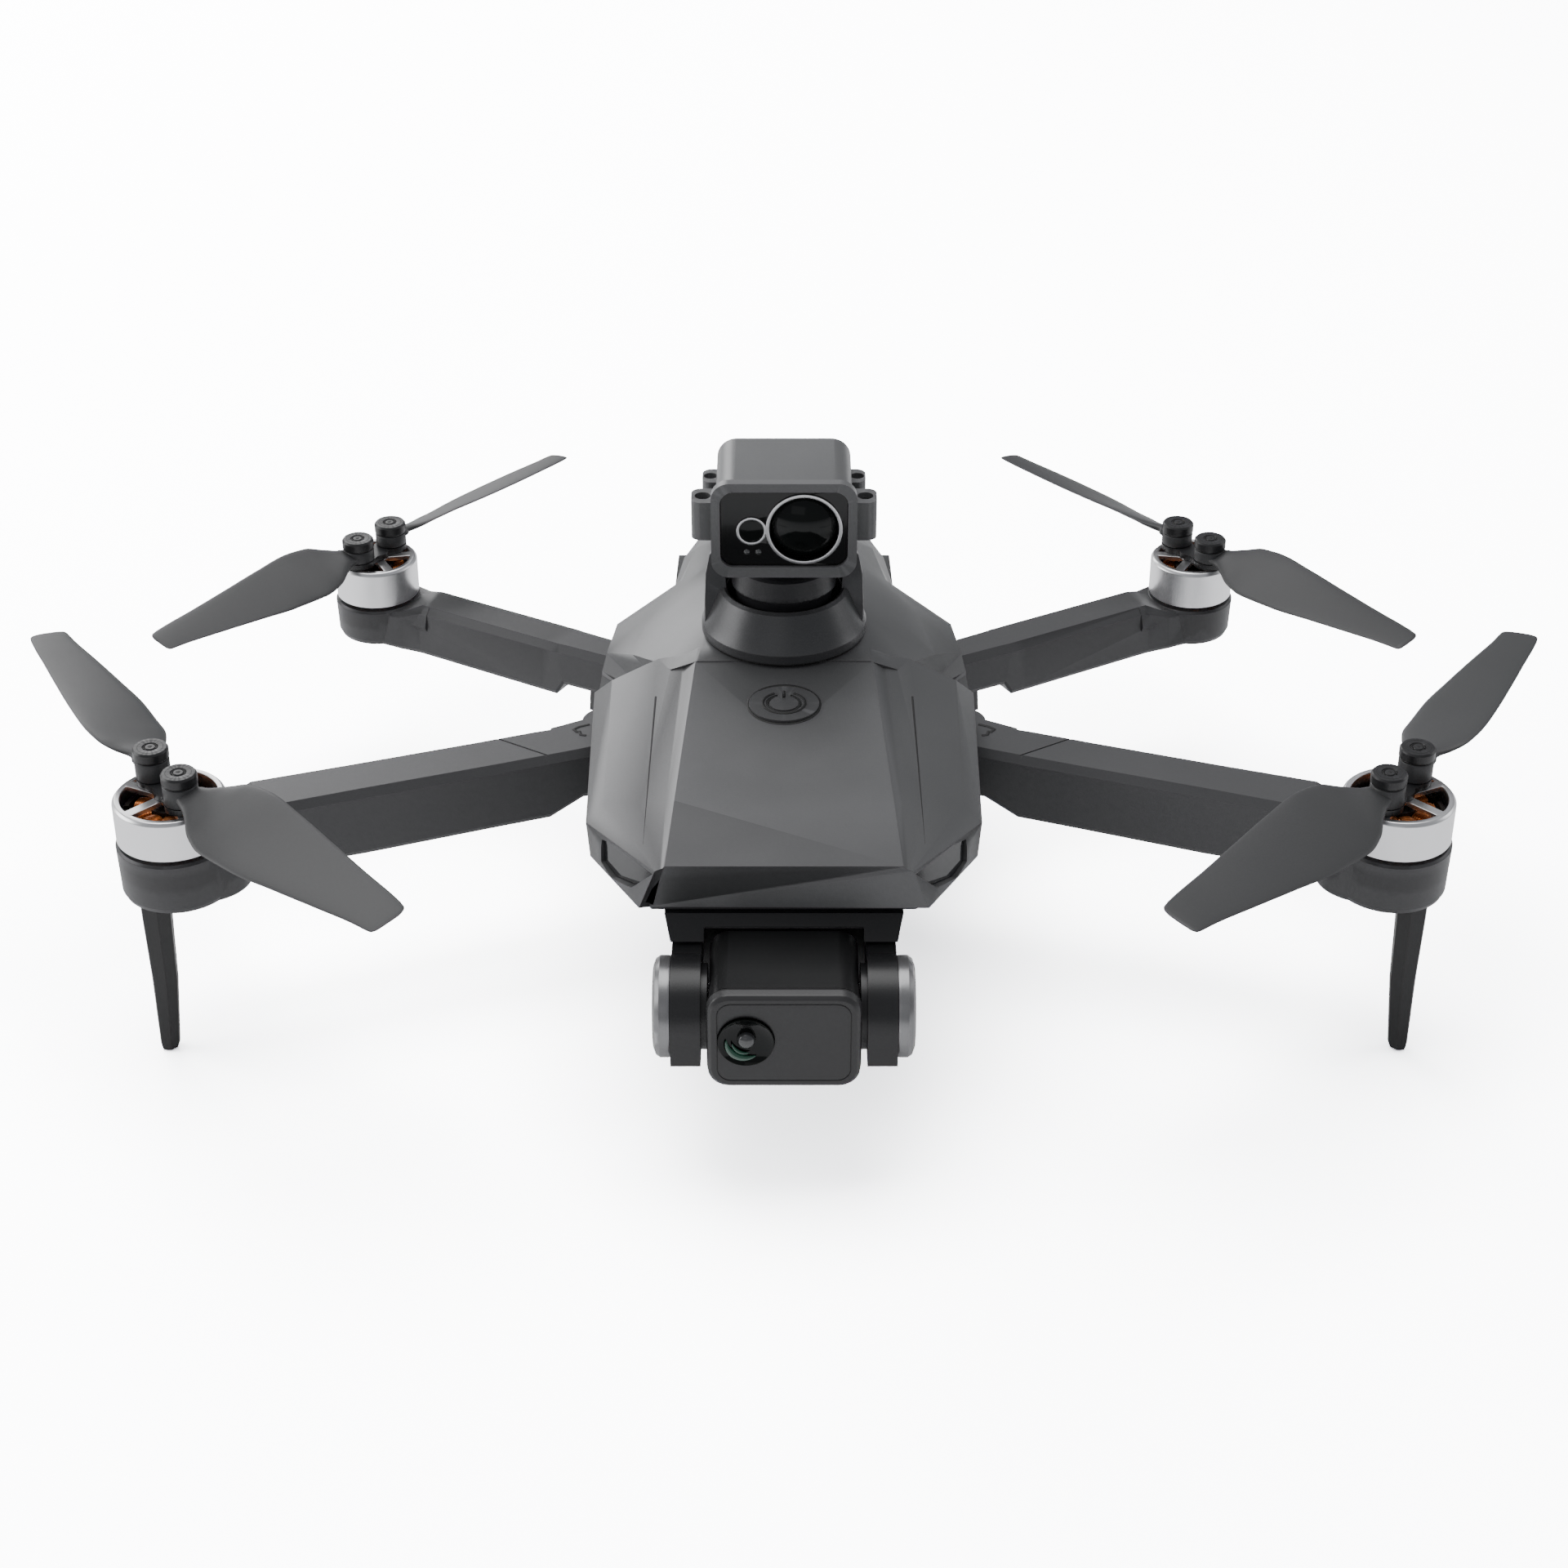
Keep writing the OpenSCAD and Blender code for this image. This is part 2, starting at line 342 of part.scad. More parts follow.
module f_arm() difference() {
  union() {
    pod_l(fm, 44.2, 58.1, front_pod_d);
    // the pod runs on under the arm
    translate([-143.2, -46.4, 44.25]) cylinder(r1 = 11.2, r2 = 12, h = 13.4);
    loft([fr_sec([-144.5, -43.9], 20.8, 12.4, 44.4, 57.7, 1), fr_sec([-136, -37.4], 20.8, 9.6, 44.2, 57.9, 1.4)]);
    loft([fr_sec([-136.1, -37.4], 20.8, 9.6, 44.2, 57.9, 1.4), fr_sec([-131.5, -34.2], 20.8, aw + 0.3, 43.4, 60.8, 2), fr_sec([-108, -25.3], 20.8, aw, 42.6, 60.5, 2), fr_sec([-77, -13.4], 20.8, aw, 42.6, 60, 2), fr_sec([-63, -8.2], 20.8, aw, 42.6, 60, 2), fr_sec([-54.5, -5.2], 20.8, aw - 0.2, 46.8, 60, 2), fr_sec([-45.5, -1.9], 20.8, aw - 0.6, 46.8, 60, 2)]);
    translate([fp[0], fp[1], 46.8]) cylinder(r = 6.6, h = 13.2);
    loft([fr_sec([-59, -3.4], 20.8, 5, 47, 60, 1), fr_sec([-48, 1.6], 20.8, 6, 47, 60, 1)]);
  }
  translate([fp[0], fp[1], 40]) cylinder(r = front_pin_r + 0.05, h = 30);
  translate([fp[0], fp[1], 40]) cylinder(r = 5.4, h = 6.9);
  translate([fm[0], fm[1], 40]) cylinder(r = 5.3, h = 6.2);
  translate([fm[0], fm[1], 58.1]) cylinder(r = front_bell_d / 2 + 0.7, h = 6);
  // seam where the root piece meets the long bar
  translate([-68, -8.8, 60.2]) rotate([0, 0, -32]) cube([18, 0.5, 0.9], center = true);
}
module r_arm() difference() {
  union() {
    pod_l(rm, 44, 54.5);
    loft([fr_sec([-111.5, 85.2], -29.5, 10.2, 44.2, 54.1, 1), fr_sec([-105, 81.4], -29.5, 8.6, 43.4, 54.4, 1.4), fr_sec([-100, 78.4], -29.5, aw - 1.4, 42.4, 56.8, 2), fr_sec([-64, 58], -29.5, aw - 1.4, 42, 56.8, 2), fr_sec([-60, 55.7], -29.5, aw - 1.4, 42, 56.8, 2), fr_sec([-58, 54.6], -29.5, aw - 1.6, 45.6, 56.8, 2), fr_sec([-44, 46.8], -29.5, aw - 2, 45.6, 56.8, 2)]);
    loft([fr_sec([-50.8, 50.6], -29.5, 5.4, 38.4, 50, 1), fr_sec([-42.4, 46], -29.5, 5.4, 37.4, 50, 1)]);
    // cheek beside the bell
    loft([fr_sec([-106, 81.6], -29.5, aw - 1.2, 50, 54.4, 1), fr_sec([-98, 77.1], -29.5, aw - 1.4, 50, 56.8, 2)]);
    translate([rp[0], rp[1], rp_z]) along(rfold) translate([0, 0, -8.2]) cylinder(r = 4.4, h = 12);
  }
  translate([rp[0], rp[1], rp_z]) along(rfold) translate([0, 0, -30]) cylinder(r = rear_pin_r + 0.05, h = 50);
  // the root is cut back square to the fold axis
  translate([rp[0], rp[1], rp_z]) rotate([0, 0, rfold]) translate([-40 - 8.2, -30, -20]) cube([40, 60, 60]);
  translate([rm[0], rm[1], 36]) cylinder(r = 5.3, h = 9);
  translate([rm[0], rm[1], 54.5]) cylinder(r = 12.5, h = 6);
}
module leg() loft([for (k = [[44, -155.3, -53, 3.9, 4, 1], [38, -155.3, -53.6, 3.7, 3.7, 1], [20, -154.9, -55.4, 3.2, 2.9, 1], [6, -155.2, -56.7, 2.6, 2.4, 1], [1.6, -155.3, -57.1, 2.4, 2.2, 0.9], [0.4, -155.4, -57.2, 2, 1.8, 0.8], [0, -155.4, -57.2, 1.4, 1.3, 0.7]])
  [for (q = [[1, -0.25], [0.25, -1], [-0.7, -0.9], [-1, 0], [-0.7, 0.9], [0.3, 1], [1, 0.4]]) [k[1] + q[0] * k[3], k[2] + q[1] * k[4], k[0]]]]);
module front_leg_left() color([0.07, 0.07, 0.07]) union() { leg(); translate([fm[0], fm[1], 43.9]) cylinder(r = 5.2, h = 2.3); }
module front_leg_right() flip() front_leg_left();
module front_arm_left() color([0.22, 0.22, 0.23]) f_arm();
module front_arm_right() color([0.22, 0.22, 0.23]) flip() f_arm();
module rear_arm_left() color([0.22, 0.22, 0.23]) r_arm();
module rear_arm_right() color([0.22, 0.22, 0.23]) flip() r_arm();

// ---------------------------------------------------------------- motors
module stator(c, z, k = 1) color([0.72, 0.36, 0.14]) translate([c[0], c[1], z - 1.1]) difference() {
  union() {
    cylinder(r = 4.7, h = 9.6);
    cylinder(r = 8.6 * k, h = 1);
    for (i = [0:8]) rotate([0, 0, 40 * i]) { translate([3, -1.5, 2]) cube([6 * k, 3, 6.6]); translate([8.2 * k, -2.4 * k, 2.6]) cube([1.2, 4.8 * k, 5.4]); }
  }
  translate([0, 0, -1]) cylinder(r = 1.56, h = 20);
}
module bell(c, z, d = bell_d) color([0.75, 0.75, 0.76]) translate([c[0], c[1], z]) difference() {
  union() {
    cylinder(r = d / 2, h = bell_h - 0.8);
    translate([0, 0, bell_h - 0.81]) cylinder(r1 = d / 2, r2 = d / 2 - 0.7, h = 0.81);
  }
  translate([0, 0, -1]) cylinder(r = d / 2 - 1.3, h = bell_h - 0.3);
  // windows between the spokes
  difference() {
    translate([0, 0, 5]) cylinder(r = d / 2 - 2, h = 20);
    cylinder(r = 3.3, h = 40);
    for (i = [0:4]) rotate([0, 0, 72 * i + 10]) translate([0, -1.3, 0]) cube([20, 2.6, 40]);
  }
  cylinder(r = 1.5, h = 40);
}
module hub(c, z, a, g = pin_gap, t = 5.2) color([0.08, 0.08, 0.08]) translate([c[0], c[1], z + bell_h]) rotate([0, 0, a]) {
  translate([0, 0, 0.1]) linear_extrude(1.6) union() {
    circle(r = 3.6);
    for (s = [-1, 1]) translate([s * g / 2, 0]) circle(r = 4.3);
    polygon([[-g / 2, -4.1], [0, -2.4], [g / 2, -4.1], [g / 2, 4.1], [0, 2.4], [-g / 2, 4.1]]);
  }
  translate([0, 0, -bell_h - 0.8]) cylinder(r = 1.48, h = bell_h + 1.6);
  for (s = [-1, 1]) translate([s * g / 2, 0, 0]) {
    cylinder(r = 1.6, h = stack + t + 0.3);
    translate([0, 0, stack + t + 0.1]) difference() {
      rotate_extrude() polygon([[0, 0], [4.2, 0], [4.4, 0.3], [4.4, 2.3], [4, 2.8], [2, 2.8], [1.9, 2.5], [1.3, 2.5], [1.2, 2.8], [0, 2.8]]);
      translate([0, 0, 2.2]) cylinder(r = 0.5, h = 2);
    }
  }
}
// Chord rings of one blade: distance from the pin, lead, trail, pitch, rise, half thickness
stations = [[5, 4.4, -3.4, 1, 0, 1.5], [8.5, 7.6, -5, 0.9, 0, 1.2], [13, 11, -7.6, 1, 0.1, 0.9], [20, 12, -9.4, 1, 0.2, 0.8], [31, 10.9, -9.4, 0.86, 0.2, 0.7],
  [44, 9, -8.2, 0.7, 0.2, 0.6], [57, 7, -6.8, 0.56, 0.2, 0.5], [68, 5.4, -5.6, 0.46, 0.2, 0.45], [72, 4.4, -5.4, 0.42, 0.2, 0.4], [73.5, 2.2, -4.9, 0.42, 0.2, 0.3]];
function foil(s, k, w, tw, v) = let (p = root_pitch * s[3] * tw, h = s[5], c0 = s[1] * w, c1 = s[2] * v, x = s[0] * k)
  [for (q = [[c0, -0.1], [c0 * 0.7 + c1 * 0.3, h], [c0 * 0.4 + c1 * 0.6, h * 0.9], [c1, 0.15], [c1, -0.15], [c0 * 0.4 + c1 * 0.6, -h * 0.4], [c0 * 0.75 + c1 * 0.25, -h * 0.7]])
    [x, q[0] * cos(p) - q[1] * sin(p), q[0] * sin(p) + q[1] * cos(p) + s[4]]];
// a is the heading of the pin line, s its end, b the heading of the blade, m = -1 mirrors the foil
// w and v widen the leading and trailing sides, tw the twist, l is the length, g the gap of the pins, t the eye
module blade(c, z, a, s, b, m, w = 1, tw = 1, l = blade_len, g = pin_gap, t = 5.2, v = 1.22) color([0.20, 0.20, 0.21]) translate([c[0], c[1], z + bell_h])
  rotate([0, 0, a]) translate([s * g / 2, 0, 0]) rotate([0, 0, b - a]) difference() {
    union() {
      translate([0, 0, stack - 0.1]) cylinder(r = 4.3, h = t);
      translate([0, 0, stack - 0.1 + t / 2]) scale([1, m, 1]) loft([for (k = stations) foil(k, l / 73.5, w, tw, v)]);
      translate([0, 0, stack + 0.5]) linear_extrude(t - 1.6) polygon([[0, -4.2], [5.6, -3.2], [5.6, 3.2], [0, 4.2]]);
    }
    translate([0, 0, -5]) cylinder(r = 1.65, h = 20);
    translate([0, 0, stack - 0.1 + t]) cylinder(r = 5.4, h = 8);
    translate([0, 0, stack - 8.1]) cylinder(r = 5.2, h = 8);
  }
module stator_front_left() stator(fm, fz, 1.25);
module stator_front_right() flip() stator(fm, fz, 1.25);
module stator_rear_left() stator(rm, rz);
module stator_rear_right() flip() stator(rm, rz);
module bell_front_left() bell(fm, fz, front_bell_d);
module bell_front_right() flip() bell(fm, fz, front_bell_d);
module bell_rear_left() bell(rm, rz);
module bell_rear_right() flip() bell(rm, rz);
module hub_front_left() hub(fm, fz, f_head);
module hub_front_right() flip() hub(fm, fz, f_head);
module hub_rear_left() hub(rm, rz, r_head, rear_pin_gap, 3.4);
module hub_rear_right() flip() hub(rm, rz, r_head, rear_pin_gap, 3.4);
module blade_front_left_a() blade(fm, fz, f_head, 1, -43.5, 1);
module blade_front_left_b() blade(fm, fz, f_head, -1, 122, 1, 0.8);
module blade_front_right_a() flip() blade_front_left_a();
module blade_front_right_b() flip() blade_front_left_b();
module blade_rear_left_a() blade(rm, rz, r_head, 1, 49.5, -1, 0.55, 1.5, rear_blade_len, rear_pin_gap, 3.4, 1);
module blade_rear_left_b() blade(rm, rz, r_head, -1, 228, -1, 0.8, 1.2, rear_blade_len, rear_pin_gap, 3.4, 1);
module blade_rear_right_a() flip() blade_rear_left_a();
module blade_rear_right_b() flip() blade_rear_left_b();

at() lower_shell();
at() upper_shell();
at() corner_windows();
at() front_sensors();
at() turret_base();
at() turret_bearing();
at() turret_motor();
at() main_board();
at() gps_module();
at() battery_contacts();
at() gimbal_mount();
at() damper_balls();
at() gimbal_fork();
at() gimbal_side_caps();
at() front_hinge_pins();
at() rear_hinge_pins();
at() foot_pads();
at() body_screws();
at() belly_sensor();
at() power_button();
at() battery_pack();
at() battery_latch();
at() camera_housing();
at() camera_front_frame();
at() camera_lens();
at() camera_sensor();
at() head_neck();
at() head_housing();
at() head_window();
at() head_rings();
at() head_lens();
at() head_lens_barrel();
at() head_screws();
at() front_arm_left();
at() front_arm_right();
at() rear_arm_left();
at() rear_arm_right();
at() front_leg_left();
at() front_leg_right();
at() stator_front_left();
at() stator_front_right();
at() stator_rear_left();
at() stator_rear_right();
at() bell_front_left();
at() bell_front_right();
at() bell_rear_left();
at() bell_rear_right();
at() hub_front_left();
at() hub_front_right();
at() hub_rear_left();
at() hub_rear_right();
at() blade_front_left_a();
at() blade_front_left_b();
at() blade_front_right_a();
at() blade_front_right_b();
at() blade_rear_left_a();
at() blade_rear_left_b();
at() blade_rear_right_a();
at() blade_rear_right_b();
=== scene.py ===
import json
import math
import bpy
import numpy as np
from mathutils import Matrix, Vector
from mathutils.bvhtree import BVHTree


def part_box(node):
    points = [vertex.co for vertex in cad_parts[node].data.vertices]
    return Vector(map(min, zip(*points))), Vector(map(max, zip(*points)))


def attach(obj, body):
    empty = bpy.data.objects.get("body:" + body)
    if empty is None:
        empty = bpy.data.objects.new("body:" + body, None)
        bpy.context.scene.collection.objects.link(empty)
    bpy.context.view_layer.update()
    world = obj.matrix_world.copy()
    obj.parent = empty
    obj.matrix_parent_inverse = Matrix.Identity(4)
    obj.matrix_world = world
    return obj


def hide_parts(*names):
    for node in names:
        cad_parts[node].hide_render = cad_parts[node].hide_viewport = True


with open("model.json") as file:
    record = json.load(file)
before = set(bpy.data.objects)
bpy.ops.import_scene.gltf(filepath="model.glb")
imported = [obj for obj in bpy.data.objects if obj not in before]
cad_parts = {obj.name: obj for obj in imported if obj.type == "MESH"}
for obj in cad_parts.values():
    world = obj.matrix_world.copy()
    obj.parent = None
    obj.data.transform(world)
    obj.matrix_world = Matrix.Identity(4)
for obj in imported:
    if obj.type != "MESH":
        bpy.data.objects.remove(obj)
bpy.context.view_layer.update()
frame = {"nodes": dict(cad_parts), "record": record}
NODE = frame["nodes"]
BODY_OF = {n: b for b, ns in frame["record"]["behaviour"]["bodies"].items() for n in ns} if isinstance(
    frame["record"].get("behaviour", {}).get("bodies"), dict) else {}
scene = bpy.context.scene
MM = 0.001
YM = 15.0


# ------------------------------------------------------------- camera, floor, light
cam_data = bpy.data.cameras.new("camera")
cam_data.lens = 65.625
cam_data.sensor_width = 36.0
cam_data.clip_start = 0.01
cam_data.clip_end = 50.0
cam = bpy.data.objects.new("camera", cam_data)
cam.location = (0.0, -0.656, 0.4337)
cam.rotation_euler = (math.radians(90.0 - 31.35), 0.0, 0.0)
scene.collection.objects.link(cam)
scene.camera = cam


def area(name, loc, aim, sx, sy, radiance):
    d = bpy.data.lights.new(name, "AREA")
    d.shape = "RECTANGLE"
    d.size, d.size_y = sx, sy
    d.energy = radiance * math.pi * sx * sy
    o = bpy.data.objects.new(name, d)
    o.location = loc
    o.rotation_euler = (Vector(aim) - Vector(loc)).to_track_quat("-Z", "Y").to_euler()
    scene.collection.objects.link(o)
    return o


area("key_back_left", (-0.98, 1.9, 0.86), (0, 0, 0.05), 1.25, 0.9, 4.7)
area("top_box", (-0.15, 0.35, 1.9), (0, 0, 0), 1.7, 1.5, 3.4)
area("left_wall", (-2.0, 0.1, 0.75), (0, 0, 0.04), 1.5, 0.9, 4.4)
area("right_wall", (2.1, 0.5, 0.8), (0, 0, 0.04), 1.1, 0.9, 1.6)
area("front_low", (-0.5, -1.9, 1.0), (0, 0, 0.03), 1.2, 0.7, 0.30)

world = bpy.data.worlds.new("studio")
scene.world = world
world.use_nodes = True
bg = world.node_tree.nodes["Background"]
bg.inputs["Color"].default_value = (0.93, 0.95, 1.0, 1.0)
bg.inputs["Strength"].default_value = 0.33


# ------------------------------------------------------------- materials
def material(name, base, rough, metal=0.0, grain=0.12, grain_mm=0.35, bump=0.05, cloud=0.10, cloud_mm=26.0,
             rough_var=0.05, coat=0.0, coat_rough=0.1, spec=0.5, edge=0.0, stretch=None, sparkle=0.0, ior=1.5,
             aniso=0.0, emit=None):
    """A moulded, painted or turned surface: soft clouding and fine grain from noise in millimetres, and a painted
    highlight that lightens sharp convex edges.
    """
    m = bpy.data.materials.new(name)
    m.use_nodes = True
    nt = m.node_tree
    nd, lk = nt.nodes, nt.links
    b = nd["Principled BSDF"]
    tc = nd.new("ShaderNodeTexCoord")
    mp = nd.new("ShaderNodeMapping")
    mp.inputs["Scale"].default_value = stretch or (1, 1, 1)
    lk.new(tc.outputs["Object"], mp.inputs["Vector"])

    def noise(scale_mm, detail, src):
        n = nd.new("ShaderNodeTexNoise")
        n.inputs["Scale"].default_value = 1000.0 / scale_mm
        n.inputs["Detail"].default_value = detail
        n.inputs["Roughness"].default_value = 0.55
        lk.new(src, n.inputs["Vector"])
        return n
    big = noise(cloud_mm, 2.0, tc.outputs["Object"])
    fine = noise(grain_mm, 2.0, mp.outputs["Vector"])

    def ramp(src, lo, hi):
        r = nd.new("ShaderNodeMapRange")
        r.inputs["To Min"].default_value = lo
        r.inputs["To Max"].default_value = hi
        lk.new(src, r.inputs["Value"])
        return r.outputs["Result"]

    def times(a, c):
        k = nd.new("ShaderNodeMath")
        k.operation = "MULTIPLY"
        lk.new(a, k.inputs[0])
        lk.new(c, k.inputs[1])
        return k.outputs[0]
    f = times(ramp(big.outputs["Fac"], 1 - cloud, 1 + cloud), ramp(fine.outputs["Fac"], 1 - grain, 1 + grain))
    # painted highlight: base colour made lighter on sharp convex edges (Pointiness), where light catches the edge
    if edge:
        geo = nd.new("ShaderNodeNewGeometry")
        er = nd.new("ShaderNodeMapRange")
        er.inputs["From Min"].default_value = 0.505
        er.inputs["From Max"].default_value = 0.60
        er.inputs["To Min"].default_value = 1.0
        er.inputs["To Max"].default_value = 1.0 + edge
        lk.new(geo.outputs["Pointiness"], er.inputs["Value"])
        f = times(f, er.outputs["Result"])
    if sparkle:
        v = nd.new("ShaderNodeTexVoronoi")
        v.inputs["Scale"].default_value = 1000.0 / 0.28
        lk.new(tc.outputs["Object"], v.inputs["Vector"])
        sr = nd.new("ShaderNodeMapRange")
        sr.inputs["From Min"].default_value = 0.0
        sr.inputs["From Max"].default_value = 0.22
        sr.inputs["To Min"].default_value = 1.0 + sparkle
        sr.inputs["To Max"].default_value = 1.0
        lk.new(v.outputs["Distance"], sr.inputs["Value"])
        f = times(f, sr.outputs["Result"])
    mul = nd.new("ShaderNodeVectorMath")
    mul.operation = "SCALE"
    mul.inputs[0].default_value = base[:3]
    lk.new(f, mul.inputs["Scale"])
    lk.new(mul.outputs["Vector"], b.inputs["Base Color"])
    lk.new(ramp(big.outputs["Fac"], max(rough - rough_var, 0.01), rough + rough_var), b.inputs["Roughness"])
    b.inputs["Metallic"].default_value = metal
    b.inputs["Specular IOR Level"].default_value = spec
    b.inputs["IOR"].default_value = ior
    b.inputs["Coat Weight"].default_value = coat
    b.inputs["Coat Roughness"].default_value = coat_rough
    b.inputs["Anisotropic"].default_value = aniso
    if emit:
        b.inputs["Emission Color"].default_value = (*emit[:3], 1)
        b.inputs["Emission Strength"].default_value = emit[3]
    if bump:
        bp = nd.new("ShaderNodeBump")
        bp.inputs["Strength"].default_value = bump
        bp.inputs["Distance"].default_value = 0.00012
        lk.new(fine.outputs["Fac"], bp.inputs["Height"])
        lk.new(bp.outputs["Normal"], b.inputs["Normal"])
    return m


M = {
    "shell": material("body_shell_paint", (.098, .0985, .101), .37, .32, grain=.07, bump=.10, cloud=.05, edge=.35, spec=.55),
    "lower": material("lower_body_paint", (.060, .0605, .062), .42, .15, grain=.08, bump=.12, cloud=.05, edge=.3),
    "corner": material("corner_glass", (.026, .027, .029), .14, .0, grain=.04, bump=.0, cloud=.5, cloud_mm=9, coat=.5, coat_rough=.05),
    "dark": material("fine_black", (.014, .014, .015), .5, grain=.12, bump=.12, edge=.4),
    "turret": material("turret_satin", (.080, .0805, .083), .34, .40, grain=.10, bump=.14, cloud=.04, sparkle=.5, edge=.4),
    "steel": material("turned_steel", (.52, .52, .54), .28, 1.0, grain=.07, bump=.06, stretch=(1, 1, 12), aniso=.4),
    "can": material("motor_can_alloy", (.5, .5, .52), .32, 1.0, grain=.08, bump=.06, stretch=(1, 1, 14)),
    "board": material("solder_mask", (.012, .09, .035), .35, grain=.15, bump=.1, coat=.3),
    "ceramic": material("bare_ceramic", (.50, .46, .34), .75, grain=.1, bump=.15),
    "brass": material("plated_contact", (.72, .52, .20), .28, 1.0, grain=.08, bump=.05),
    "rubber": material("soft_rubber_skin", (.016, .016, .016), .75, grain=.2, bump=.25, spec=.3),
    "fork": material("fork_satin", (.012, .012, .013), .38, grain=.10, bump=.10, edge=.6),
    "cap": material("side_cap_satin", (.24, .24, .245), .30, .7, grain=.06, bump=.08, edge=.9),
    "screw": material("screw_head_steel", (.40, .40, .42), .34, 1.0, grain=.1, bump=.08),
    "button": material("button_satin", (.085, .0855, .088), .36, .3, grain=.07, bump=.10, edge=.7),
    "battery": material("battery_case_texture", (.050, .050, .053), .5, grain=.16, grain_mm=.6, bump=.25, edge=.3),
    "camera": material("camera_near_black", (.010, .010, .0105), .34, grain=.10, bump=.07, edge=1.2),
    "camface": material("camera_face_satin", (.034, .034, .035), .36, grain=.06, bump=.05, edge=.5),
    "glass": material("coated_lens", (.003, .0045, .004), .09, grain=.05, bump=.0, cloud=.2, coat=.12, coat_rough=.03, spec=.18),
    "window": material("head_window_gloss", (.0042, .0042, .0046), .12, grain=.05, bump=.0, cloud=.1, coat=.15, coat_rough=.05, spec=.3),
    "neck": material("neck_satin", (.020, .020, .022), .36, grain=.08, bump=.08, edge=.4),
    "head": material("head_shell_satin", (.14, .141, .144), .37, .28, grain=.07, bump=.10, cloud=.04, edge=.4),
    "ring": material("machined_ring", (.56, .56, .57), .25, 1.0, grain=.06, bump=.05, stretch=(1, 10, 1)),
    "arm": material("arm_satin", (.058, .058, .060), .40, .22, grain=.08, bump=.12, cloud=.05, edge=.45),
    "leg": material("leg_satin", (.012, .012, .0125), .36, grain=.08, bump=.10, edge=.5),
    "bell": material("bell_satin_alloy", (.84, .84, .85), .30, 1.0, grain=.05, grain_mm=.5, bump=.05, stretch=(1, 1, 18), cloud=.03, rough_var=.04, edge=.15, aniso=.35),
    "copper": material("enamelled_copper", (.62, .21, .055), .32, .75, grain=.16, grain_mm=.5, bump=.08, cloud=.15, cloud_mm=3, coat=.4),
    "lamination": material("dark_lamination", (.020, .015, .013), .55, .5, grain=.2, bump=.2, stretch=(1, 1, 16)),
    "hub": material("hub_satin_black", (.016, .016, .017), .36, grain=.08, bump=.10, edge=.7),
    "blade": material("blade_matte", (.052, .0525, .054), .46, grain=.07, bump=.10, cloud=.05, edge=.25, spec=.45),
    "line": material("groove_shadow", (.0045, .0045, .005), .6, grain=.1, bump=.0),
    # painted highlight: a light grey meant to stand for the bright rim of an edge (not assigned to any part)
    "lip": material("bright_painted_edge_highlight", (.34, .34, .35), .32, .3, grain=.06, bump=.0),
    "led": material("led_resin", (.07, .072, .075), .2, grain=.1, bump=.0, coat=.8),
    # painted reflection: green for the lens coating's coloured reflection, drawn as crescents on the camera lens
    "green": material("painted_green_lens_reflection", (.02, .12, .07), .12, grain=.1, bump=.0, coat=1.0, coat_rough=.03),
}

LOOK = {  # node: (material, bevel width in mm, angle)
    "lower_shell": ("lower", .4, 34), "upper_shell": ("shell", .4, 34), "corner_windows": ("corner", .15, 30),
    "front_sensors": ("dark", .1, 30), "turret_base": ("turret", .45, 30), "turret_bearing": ("steel", .1, 30),
    "turret_motor": ("can", .2, 30), "main_board": ("board", .1, 30), "gps_module": ("ceramic", .2, 30),
    "battery_contacts": ("brass", .1, 30), "gimbal_mount": ("dark", .4, 30), "damper_balls": ("rubber", 0, 30),
    "gimbal_fork": ("fork", .6, 30), "gimbal_side_caps": ("cap", .4, 30), "front_hinge_pins": ("steel", .1, 30),
    "rear_hinge_pins": ("steel", .1, 30), "foot_pads": ("rubber", .2, 30), "body_screws": ("screw", .1, 30),
    "belly_sensor": ("dark", .1, 30), "power_button": ("button", .18, 30), "battery_pack": ("battery", .5, 30),
    "battery_latch": ("dark", .2, 30), "camera_housing": ("camera", .5, 30), "camera_front_frame": ("camface", .3, 30),
    "camera_lens": ("glass", 0, 30), "camera_sensor": ("dark", .1, 30), "head_neck": ("neck", .3, 30),
    "head_housing": ("head", .5, 30), "head_window": ("window", .15, 30), "head_rings": ("ring", .12, 30),
    "head_lens": ("glass", 0, 30), "head_lens_barrel": ("dark", .1, 30), "head_screws": ("screw", .08, 30),
    "front_arm_left": ("arm", .45, 26), "front_arm_right": ("arm", .45, 26), "rear_arm_left": ("arm", .45, 26),
    "rear_arm_right": ("arm", .45, 26), "front_leg_left": ("leg", .4, 30), "front_leg_right": ("leg", .4, 30),
}
for side in ("front_left", "front_right", "rear_left", "rear_right"):
    LOOK["bell_" + side] = ("bell", .35, 30)
    LOOK["hub_" + side] = ("hub", .3, 30)


def dress(o, mat, width, angle):
    me = o.data
    me.materials.clear()
    me.materials.append(mat)
    for nm in ("custom_normal", "sharp_edge", "sharp_face"):
        a = me.attributes.get(nm)
        if a:
            me.attributes.remove(a)
    me.polygons.foreach_set("use_smooth", [True] * len(me.polygons))
    w = o.modifiers.new("weld", "WELD")
    w.merge_threshold = 0.00001
    if width:
        b = o.modifiers.new("edge", "BEVEL")
        b.width = width * MM
        b.segments = 3
        b.limit_method = "ANGLE"
        b.angle_limit = math.radians(angle)
        b.use_clamp_overlap = True
        b.miter_outer = "MITER_ARC"
    n = o.modifiers.new("normals", "WEIGHTED_NORMAL")
    n.mode = "FACE_AREA"
    n.weight = 60
    n.keep_sharp = True


for name, o in NODE.items():
    if name in LOOK:
        mt, wd, an = LOOK[name]
        dress(o, M[mt], wd, an)


